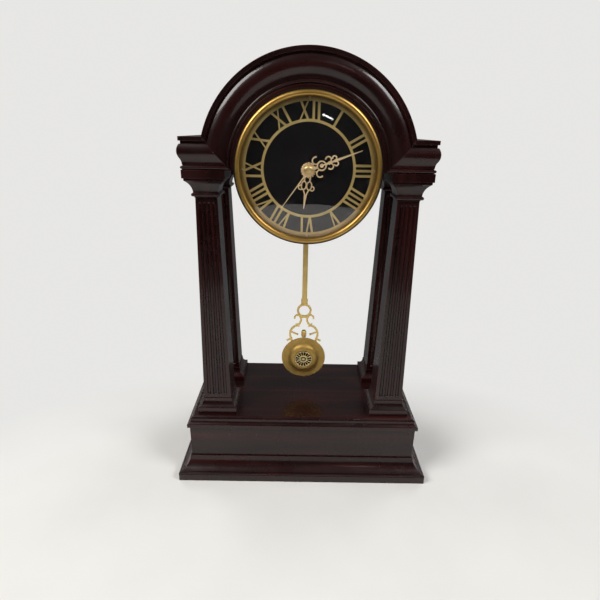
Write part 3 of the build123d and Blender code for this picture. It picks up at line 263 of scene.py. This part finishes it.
def brass(name, light, dark, rough, spin=None, brush=None, shade_depths=None, shade_radii=None):
    """Lacquered brass. Spin is the centre of turning marks, brush the axis of polishing marks. Painted
    shade darkens it between the depths (front, back) given for it, as in the rosette's slots, and round
    the dial between the radii (clean, shaded) given for it, where bezel and chapter ring meet."""
    s = Shader(name)
    cloud = s.noise(s.coords, scale=45.0, detail=4.0)
    colour = s.ramp(cloud, (0.3, dark), (0.7, light))
    # Painted shade in the rosette's slots, darker with depth
    if shade_depths is not None:
        shade_in_slots = s.spread(s.split()[1], 0.0, 1.0, *shade_depths)
        colour = s.mix("MIX", shade_in_slots, colour, SLOT_PAINTED_SHADE)
    # Painted shade round the dial, where bezel and chapter ring meet
    if shade_radii is not None:
        from_dial = s.round_about(DIAL)[0]
        colour = s.mix("MIX", s.spread(from_dial, 0.0, CORNER_SHADE_SHARE, *shade_radii), colour, CORNER_PAINTED_SHADE)
    if spin is not None:
        radius, angle, depth = s.round_about(spin)
        marks_at = s.join(
            s.math("MULTIPLY", radius, SPIN_SCALE),
            s.math("MULTIPLY", angle, SPIN_ANGLE_SCALE),
            s.math("MULTIPLY", depth, SPIN_SCALE))
    else:
        marks_at = s.stretch(BRUSH_SCALE, brush)
    marks = s.noise(marks_at, detail=2.0)
    s.feed(Base_Color=colour, Roughness=s.spread(marks, rough * 0.85, rough * 1.25))
    s.bump(marks, 0.06, MARK_H)
    s.set(Metallic=1.0)
    return s.material


def paint(name, colour, rough, grain=900.0, metal=0.0, coat=0.0):
    """Paint, plated metal or moulded plastic with fine texture and slight shade changes."""
    s = Shader(name)
    low = tuple(c * 0.8 for c in colour)
    high = tuple(min(1.0, c * 1.15) for c in colour)
    cloud = s.noise(s.coords, scale=40.0, detail=4.0)
    fine = s.noise(s.coords, scale=grain, detail=2.0)
    s.feed(Base_Color=s.ramp(cloud, (0.3, low), (0.7, high)))
    s.feed(Roughness=s.spread(fine, rough * 0.85, rough * 1.2))
    s.bump(fine, 0.15, GRAIN_H)
    s.set(Metallic=metal, Coat_Weight=coat)
    return s.material


def clear_glass(name):
    """Clear glass that lets lamp light through to the dial."""
    s = Shader(name)
    smear = s.noise(s.coords, scale=18.0, detail=3.0)
    s.feed(Roughness=s.spread(smear, 0.0, 0.02))
    s.set(Base_Color=(*WHITE, 1.0), Transmission_Weight=1.0, IOR=1.5)
    clear = s.add("ShaderNodeBsdfTransparent")
    path = s.add("ShaderNodeLightPath")
    s.blend_to(clear.outputs["BSDF"], path.outputs["Is Shadow Ray"])
    return s.material


def cell_wrap(name, low, high):
    """Dry cell along X from low to high: dark wrap with a pale band, bare steel at both ends."""
    steel, wrap, band = (0.6, 0.6, 0.6), (0.012, 0.016, 0.024), (0.30, 0.31, 0.32)
    stops = ((0.0, steel), (0.035, wrap), (0.70, band), (0.76, wrap), (0.945, steel))
    s = Shader(name)
    along = s.spread(s.split()[0], 0.0, 1.0, low, high)
    scuff = s.noise(s.coords, scale=220.0, detail=3.0)
    scuffs = s.ramp(scuff, (0.3, (0.5, 0.5, 0.5)), (0.6, WHITE))
    colour = s.mix("MULTIPLY", 0.25, s.ramp(along, *stops, blend="CONSTANT"), scuffs)
    s.feed(Base_Color=colour, Roughness=s.spread(scuff, 0.25, 0.4))
    s.set(Metallic=0.35, Coat_Weight=0.4)
    return s.material


def dress(material, *names, edge=None):
    """Gives CAD nodes a material and, where edge is a width, a small rounding of their sharp edges."""
    for name in names:
        piece = nodes[name]
        piece.data.materials.clear()
        piece.data.materials.append(material)
        if edge is None:
            continue
        weld = piece.modifiers.new("weld", "WELD")
        weld.merge_threshold = 1e-6
        round_edges = piece.modifiers.new("round_edges", "BEVEL")
        round_edges.width = edge
        round_edges.segments = 2
        round_edges.limit_method = "ANGLE"
        round_edges.angle_limit = math.radians(35.0)
        shade = piece.modifiers.new("shade", "WEIGHTED_NORMAL")
        shade.keep_sharp = False
        shade.weight = 80


# Wood
wood_x = mahogany("mahogany_level", 0)
wood_y = mahogany("mahogany_deep", 1)
wood_z = mahogany("mahogany_upright", 2)
wood_arc = mahogany("mahogany_bent", DIAL)
dress(wood_x, "base_top_board", "base_frieze_boards", "base_moulding_strips", "base_bottom_panel",
      "column_feet", "entablature_front_left", "entablature_front_right", "arch_front_panel",
      "arch_back_panel", "head_shoulder_boards", "head_soffit_boards", "rear_door")
dress(wood_y, "entablature_side_left", "entablature_side_right")
dress(wood_z, "column_capitals", "column_shaft_front_left", "column_shaft_front_right",
      "column_shaft_rear_left", "column_shaft_rear_right")
dress(wood_arc, "arch_moulding", "arch_roof")

# Brass
# The bezel and the chapter ring get painted shade round the dial where they meet
bezel_brass = brass("brass_turned_bezel", (0.62, 0.385, 0.105), (0.47, 0.275, 0.068), 0.40, spin=DIAL,
                    shade_radii=(0.0715, 0.0700))
bob_brass = brass("brass_turned_bob", (0.68, 0.46, 0.145), (0.54, 0.35, 0.10), 0.52, spin=BOB)
bright_brass = brass("brass_bright", (0.84, 0.63, 0.25), (0.68, 0.47, 0.16), 0.38, brush=2)
chapter_brass = brass("brass_satin", (0.66, 0.51, 0.21), (0.56, 0.42, 0.165), 0.5, brush=0,
                      shade_radii=(0.0668, 0.0692))
pin_brass = brass("brass_pins", (0.96, 0.83, 0.55), (0.90, 0.74, 0.45), 0.26)
hand_gold = brass("gold_hands", (0.90, 0.70, 0.43), (0.80, 0.60, 0.34), 0.5, brush=2)
dress(bezel_brass, "bezel", "glass_retaining_ring")
dress(bob_brass, "pendulum_bob")
dress(bright_brass, "pendulum_rod", "pendulum_fretwork", "regulating_nut", "rear_door_hinge",
      "rear_door_hinge_leaf", "rear_door_knob", edge=0.0003)
dress(bright_brass, "bob_rosette")
dress(chapter_brass, "chapter_ring")
dress(pin_brass, "chapter_ring_pins", edge=0.0004)
dress(hand_gold, "hour_hand", "minute_hand", "second_hand", "movement_mounting_nut")

# Dial, glass and movement
dress(paint("dial_enamel", (0.0045, 0.0038, 0.0042), 0.22, grain=1400.0, coat=0.3), "dial_plate")
dress(paint("drum_enamel", (0.012, 0.007, 0.0065), 0.32), "dial_drum")
dress(clear_glass("domed_glass"), "dial_glass")
dress(paint("zinc_plate", (0.55, 0.55, 0.56), 0.34, metal=1.0),
      "column_tie_rods", "tie_rod_nuts", "motor_stator", "pendulum_magnet", "battery_contacts")
dress(paint("movement_plastic", (0.018, 0.018, 0.02), 0.5, grain=2200.0),
      "movement_front_case", "movement_rear_case", "pendulum_hanger", "setting_knob", edge=0.0003)
dress(paint("gear_plastic", (0.74, 0.71, 0.62), 0.38),
      "seconds_wheel", "third_wheel", "center_wheel", "motion_wheel", "hour_wheel")
dress(paint("coil_wire", (0.45, 0.16, 0.06), 0.35, grain=3000.0, metal=1.0),
      "motor_coil", "pendulum_drive_coil")
dress(paint("circuit_green", (0.02, 0.10, 0.04), 0.4), "circuit_board")
cell_low, cell_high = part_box("battery")
dress(cell_wrap("cell_wrap", cell_low[0], cell_high[0]), "battery")


def piece_of(name, work, material, body, smooth=True):
    """Turns a bmesh into a piece that rides on a body."""
    mesh = bpy.data.meshes.new(name)
    bmesh.ops.recalc_face_normals(work, faces=work.faces)
    work.to_mesh(mesh)
    work.free()
    for face in mesh.polygons:
        face.use_smooth = smooth
    mesh.materials.append(material)
    piece = bpy.data.objects.new(name, mesh)
    scene.collection.objects.link(piece)
    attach(piece, body)
    return piece


def circle(steps):
    """Angles of a full turn."""
    return [2 * math.pi * k / steps for k in range(steps)]


def join_rings(work, rings):
    """Faces between rings of equal length."""
    for a, b in zip(rings, rings[1:]):
        count = len(a)
        for k in range(count):
            n = (k + 1) % count
            work.faces.new((a[k], b[k], b[n], a[n]))


def close_rings(work, rings):
    """Closed skin over rings of equal length."""
    join_rings(work, rings)
    work.faces.new(rings[0])
    work.faces.new(rings[-1])


def turned(work, centre, profile, steps=48):
    """Solid of revolution about a front-to-back axis; the profile is (radius, forward) points."""
    rings = []
    for radius, forward in profile:
        rings.append([work.verts.new((
            centre.x + radius * math.sin(a), centre.y - forward, centre.z + radius * math.cos(a)))
            for a in circle(steps)])
    close_rings(work, rings)


def front_of(name):
    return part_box(name)[0][1]


def ease(value, low, high):
    """0 below low, 1 above high, smooth between."""
    t = min(1.0, max(0.0, (value - low) / (high - low)))
    return t * t * (3.0 - 2.0 * t)


def rosette():
    """Cast rosette on the bob: scalloped edge, slots between ribs, dished middle with a bead. Places on it
    are shares u of its radius at an angle a, and heights are shares of its thickness."""
    low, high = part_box("bob_rosette")
    radius = (high[0] - low[0]) / 2
    depth = high[1] - low[1]
    centre = Vector(((low[0] + high[0]) / 2, high[1], (low[2] + high[2]) / 2))
    slots = 16
    plain_h, slot_h, dish_h, rim_h, bead_h = 0.82, 0.60, 0.28, 0.08, 0.16
    bead_r, rim_r, rim_w, wall_r, scallop = 0.12, 0.95, 0.04, 0.965, 0.035

    def height(u, a):
        between = abs(math.sin(slots * a / 2))
        slot = ease(u, 0.40, 0.50) * (1.0 - ease(u, 0.85, 0.91)) * ease(between, 0.32, 0.56)
        dish = ease(u, 0.13, 0.20) * (1.0 - ease(u, 0.26, 0.34))
        rim = math.exp(-((u - rim_r) / rim_w) ** 2)
        bead = max(0.0, 1.0 - (u / bead_r) ** 2) ** 0.5
        top = plain_h + rim_h * rim + bead_h * bead - dish_h * dish - slot_h * slot
        return depth * top * (1.0 - ease(u, wall_r, 1.0))

    def reach(u, a):
        lobe = abs(math.cos(slots * a / 2)) ** 0.7
        return radius * u * (1.0 - scallop * ease(u, 0.8, 1.0) * (1.0 - lobe))

    work = bmesh.new()
    rings = []
    even_shares = [0.004 + 0.966 * k / 64 for k in range(65)]
    wall_shares = [0.98, 0.99, 1.0]
    for u in even_shares + wall_shares:
        ring = []
        for a in circle(320):
            r = reach(u, a)
            ring.append(work.verts.new((
                centre.x + r * math.sin(a), centre.y - height(u, a), centre.z + r * math.cos(a))))
        rings.append(ring)
    close_rings(work, rings)
    # The slots get painted shade
    metal = brass("brass_rosette", (0.92, 0.76, 0.40), (0.82, 0.65, 0.32), 0.46, brush=2,
                  shade_depths=(low[1] + 0.26 * depth, low[1] + 0.50 * depth))
    piece = piece_of("bob_rosette_cast", work, metal, "pendulum")
    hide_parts("bob_rosette")


def hour_hub():
    """Beads round the edge of the hour hand's disc."""
    front = front_of("hour_hand")
    beads, ring_r = 18, 0.0072
    bead_r, bead_h, bead_back = 0.00075, 0.0005, 0.0004
    profile = [(bead_r, -bead_back)]
    profile += [(bead_r * math.cos(t), bead_h * math.sin(t)) for t in (0.0, 0.3, 0.6, 1.0, 1.35, 1.5)]
    work = bmesh.new()
    for a in circle(beads):
        spot = Vector((ring_r * math.sin(a), front, DIAL.z + ring_r * math.cos(a)))
        turned(work, spot, profile, steps=12)
    piece_of("hour_hub_beads", work, hand_gold, "hours")


def second_hub():
    """Domed cap with a rolled edge over the second hand's hub."""
    front = front_of("second_hand")
    cap_r, foot_h, dome_h = 0.0047, 0.0005, 0.0011
    dome_r = 0.84 * cap_r
    roll = ((0.96, 0.0), (1.0, 0.0002), (1.0, 0.0004), (0.95, 0.0006), (0.88, foot_h))
    profile = [(cap_r * share, up) for share, up in roll]
    for t in (0.1, 0.3, 0.55, 0.8, 1.05, 1.3, 1.5):
        profile.append((dome_r * math.cos(t), foot_h + dome_h * math.sin(t)))
    work = bmesh.new()
    turned(work, Vector((0.0, front, DIAL.z)), profile)
    cap_gold = brass("gold_hub_cap", (0.70, 0.52, 0.23), (0.58, 0.42, 0.17), 0.36, spin=DIAL)
    piece_of("second_hub_cap", work, cap_gold, "seconds")


def knurled_nut():
    """Regulating nut with upright knurls and a waist at each end."""
    low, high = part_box("regulating_nut")
    radius = (high[0] - low[0]) / 2
    mid_x, mid_y = (low[0] + high[0]) / 2, (low[1] + high[1]) / 2
    tall = high[2] - low[2]
    knurls, knurl_depth, knurl_mean = 36, 0.055, 0.6
    # Share of the radius, share of the height, and 1 where knurls cross; the upper half mirrors the lower
    lower = ((0.50, 0.0, 0), (0.80, 0.0, 0), (0.88, 0.04, 0), (0.88, 0.12, 0), (0.96, 0.17, 1),
             (0.98, 0.22, 1))
    upper = tuple((share, 1.0 - level, knurl) for share, level, knurl in reversed(lower))
    work = bmesh.new()
    rings = []
    for share, level, knurl in lower + upper:
        z = low[2] + tall * level
        ring = []
        for a in circle(4 * knurls):
            r = radius * (share + knurl * knurl_depth * (abs(math.cos(knurls / 2 * a)) - knurl_mean))
            ring.append(work.verts.new((mid_x + r * math.cos(a), mid_y + r * math.sin(a), z)))
        rings.append(ring)
    close_rings(work, rings)
    piece = piece_of("regulating_nut_knurled", work, bright_brass, "pendulum",
                     smooth=False)
    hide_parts("regulating_nut")


def screw_heads(name, spots, radius, body, material):
    """Slotted screw heads that face +Y at the given spots, each as two halves beside its slot. The sizes
    here are shares of the radius."""
    steps = 32
    slot_half, flat_r = 0.12, 0.92
    flat_up, rim_up, foot_up = 0.22, 0.14, -0.02
    start = math.asin(slot_half)
    work = bmesh.new()

    def point(place, u, v, up):
        return work.verts.new(place @ Vector((u * radius, up * radius, v * radius)))

    for x, y, z, angle in spots:
        place = Matrix.Translation((x, y, z)) @ Matrix.Rotation(angle, 4, "Y")
        for side in (-1, 1):
            flat, rim, foot = [], [], []
            for k in range(steps + 1):
                a = start + (math.pi - 2 * start) * k / steps
                u, v = math.cos(a), side * math.sin(a)
                flat.append(point(place, flat_r * u, max(slot_half, flat_r * abs(v)) * side, flat_up))
                rim.append(point(place, u, v, rim_up))
                foot.append(point(place, u, v, foot_up))
            for upper, lower in ((flat, rim), (rim, foot)):
                for k in range(steps):
                    work.faces.new((upper[k], upper[k + 1], lower[k + 1], lower[k]))
            work.faces.new(flat)
            work.faces.new(foot)
            work.faces.new((flat[0], rim[0], foot[0], foot[-1], rim[-1], flat[-1]))
    piece_of(name, work, material, body)


def hinge_screws():
    """Two screws in each hinge leaf on the back of the case."""
    screw_r = 0.0021
    leaf_t = 0.0012  # from the back panel to the face of the case leaf
    knuckle_up = 0.0002  # from the face of the door leaf to the top of its knuckle
    for node, name, body, shift in (("rear_door_hinge", "hinge_screws_case", "case", -0.25),
                                    ("rear_door_hinge_leaf", "hinge_screws_door", "door", 0.25)):
        low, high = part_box(node)
        x = (low[0] + high[0]) / 2 + shift * (high[0] - low[0])
        y = low[1] + leaf_t if body == "case" else high[1] - knuckle_up
        tall = high[2] - low[2]
        spots = [(x, y, low[2] + tall * share, turn) for share, turn in ((0.22, 0.5), (0.78, 1.9))]
        screw_heads(name, spots, screw_r, body, bright_brass)


rosette()
hour_hub()
second_hub()
knurled_nut()
hinge_screws()


def lamp(name, place, aim, size, power, colour=WHITE, roll=0.0):
    """Soft rectangular lamp that looks at a point; roll is in degrees."""
    data = bpy.data.lights.new(name, "AREA")
    data.shape = "RECTANGLE"
    data.size, data.size_y = size
    data.energy = power
    data.color = colour
    lamp_object = bpy.data.objects.new(name, data)
    turn = (Vector(aim) - Vector(place)).to_track_quat("-Z", "Y").to_matrix().to_4x4()
    spin = Matrix.Rotation(math.radians(roll), 4, "Z")
    lamp_object.matrix_world = Matrix.Translation(place) @ turn @ spin
    scene.collection.objects.link(lamp_object)


def studio_lamps():
    """Two soft lamps in front, two strips over the sides, two lamps behind, and a small one that glints in
    the glass."""
    low, middle, high = (0, 0, 0.22), (0, 0, 0.3), (0, 0, 0.35)
    glint_at = (0.0176, -0.0676, 0.438)
    strip, panel = (0.14, 0.6), (0.8, 0.8)
    lamp("lamp_left", (-1.25, -0.75, 1.55), low, (0.9, 0.9), 31.0, colour=(1.0, 0.98, 0.95))
    lamp("lamp_right", (1.25, -0.75, 1.55), low, (0.7, 0.7), 20.0)
    lamp("lamp_strip_left", (-0.89, 0.15, 1.32), high, strip, 2.0)
    lamp("lamp_strip_right", (0.89, 0.15, 1.32), high, strip, 2.0)
    lamp("lamp_back_left", (-1.3, 1.1, 0.9), middle, panel, 9.0)
    lamp("lamp_back_right", (1.3, 1.1, 0.9), middle, panel, 9.0)
    lamp("lamp_glint", (0.346, -1.695, 1.134), glint_at, (0.19, 0.032), 0.35, roll=-27.0)


def floor_paper(centre, behind):
    """Pale paper that the camera sees fade into the background, nearer by the share behind at the back."""
    fade_from, fade_to = 0.40, 0.61
    s = Shader("floor_paper")
    cloud = s.noise(s.coords, scale=6.0, detail=3.0)
    s.feed(Base_Color=s.ramp(cloud, (0.3, (0.70, 0.69, 0.665)), (0.7, (0.74, 0.73, 0.705))))
    s.set(Roughness=0.9, Specular_IOR_Level=0.2)
    pale = s.add("ShaderNodeEmission")
    pale.inputs["Color"].default_value = (*PALE, 1.0)
    x, y = s.split()[:2]
    y = s.math("SUBTRACT", y, centre.y)
    far = s.length(x, s.math("MAXIMUM", y, s.math("DIVIDE", y, behind)))
    seen = s.add("ShaderNodeLightPath").outputs["Is Camera Ray"]
    faded = s.math("MULTIPLY", seen, s.spread(far, 0.0, 1.0, fade_from, fade_to))
    s.blend_to(pale.outputs["Emission"], faded)
    return s.material


def pale_floor():
    """Round floor, set a little forward and flattened behind."""
    centre = Vector((0.0, -0.30, 0.0))
    behind = 0.84
    work = bmesh.new()
    rings = []
    for r in (0.2, 0.4, 0.62):
        ring = []
        for a in circle(96):
            x, y = r * math.cos(a), r * math.sin(a)
            ring.append(work.verts.new((centre.x + x, centre.y + min(y, y * behind), 0.0)))
        rings.append(ring)
    work.faces.new(rings[0])
    join_rings(work, rings)
    mesh = bpy.data.meshes.new("floor")
    work.to_mesh(mesh)
    work.free()
    mesh.materials.append(floor_paper(centre, behind))
    floor = bpy.data.objects.new("floor", mesh)
    scene.collection.objects.link(floor)


def studio_world():
    """Dim in front, brighter behind and overhead. The background is plain and pale, and gloss and glass
    show it dimmer."""
    world = bpy.data.worlds.new("studio")
    scene.world = world
    world.use_nodes = True
    g = Graph(world.node_tree, "Generated")
    y, z = g.split()[1:]
    light = g.math("ADD", g.spread(y, 0.015, 0.06, -0.7, 0.6), g.spread(z, 0.0, 0.10, 0.2, 1.0))
    room = g.ramp(light, (0.0, BLACK), (1.0, (0.95, 0.97, 1.0)))
    rays = g.add("ShaderNodeLightPath").outputs
    shiny = g.math("MAXIMUM", rays["Is Glossy Ray"], rays["Is Transmission Ray"])
    dimmed = g.math("MULTIPLY", shiny, g.spread(y, 0.0, 0.1, 0.1, 0.7))
    shown = g.math("MAXIMUM", rays["Is Camera Ray"], dimmed)
    g.link(g.mix("MIX", shown, room, PALE), g.tree.nodes["Background"].inputs["Color"])


def photo_camera():
    """Camera at the place and angle fitted to the photo; angles are in degrees."""
    place = (-0.00849, -0.52216, 0.42651)
    heading, tilt_down, roll = -0.2812, 21.562, 1.0474
    focal_pixels, picture_pixels = 431.74, 600.0
    sensor_w = 36.0
    data = bpy.data.cameras.new("camera")
    data.sensor_width = sensor_w
    data.lens = sensor_w * focal_pixels / picture_pixels
    data.clip_start = 0.01
    camera = bpy.data.objects.new("camera", data)
    camera.matrix_world = (
        Matrix.Translation(place)
        @ Matrix.Rotation(math.radians(heading), 4, "Z")
        @ Matrix.Rotation(math.radians(90.0 - tilt_down), 4, "X")
        @ Matrix.Rotation(math.radians(roll), 4, "Z"))
    scene.collection.objects.link(camera)
    scene.camera = camera


studio_lamps()
pale_floor()
studio_world()
photo_camera()
scene.view_settings.view_transform = "Standard"
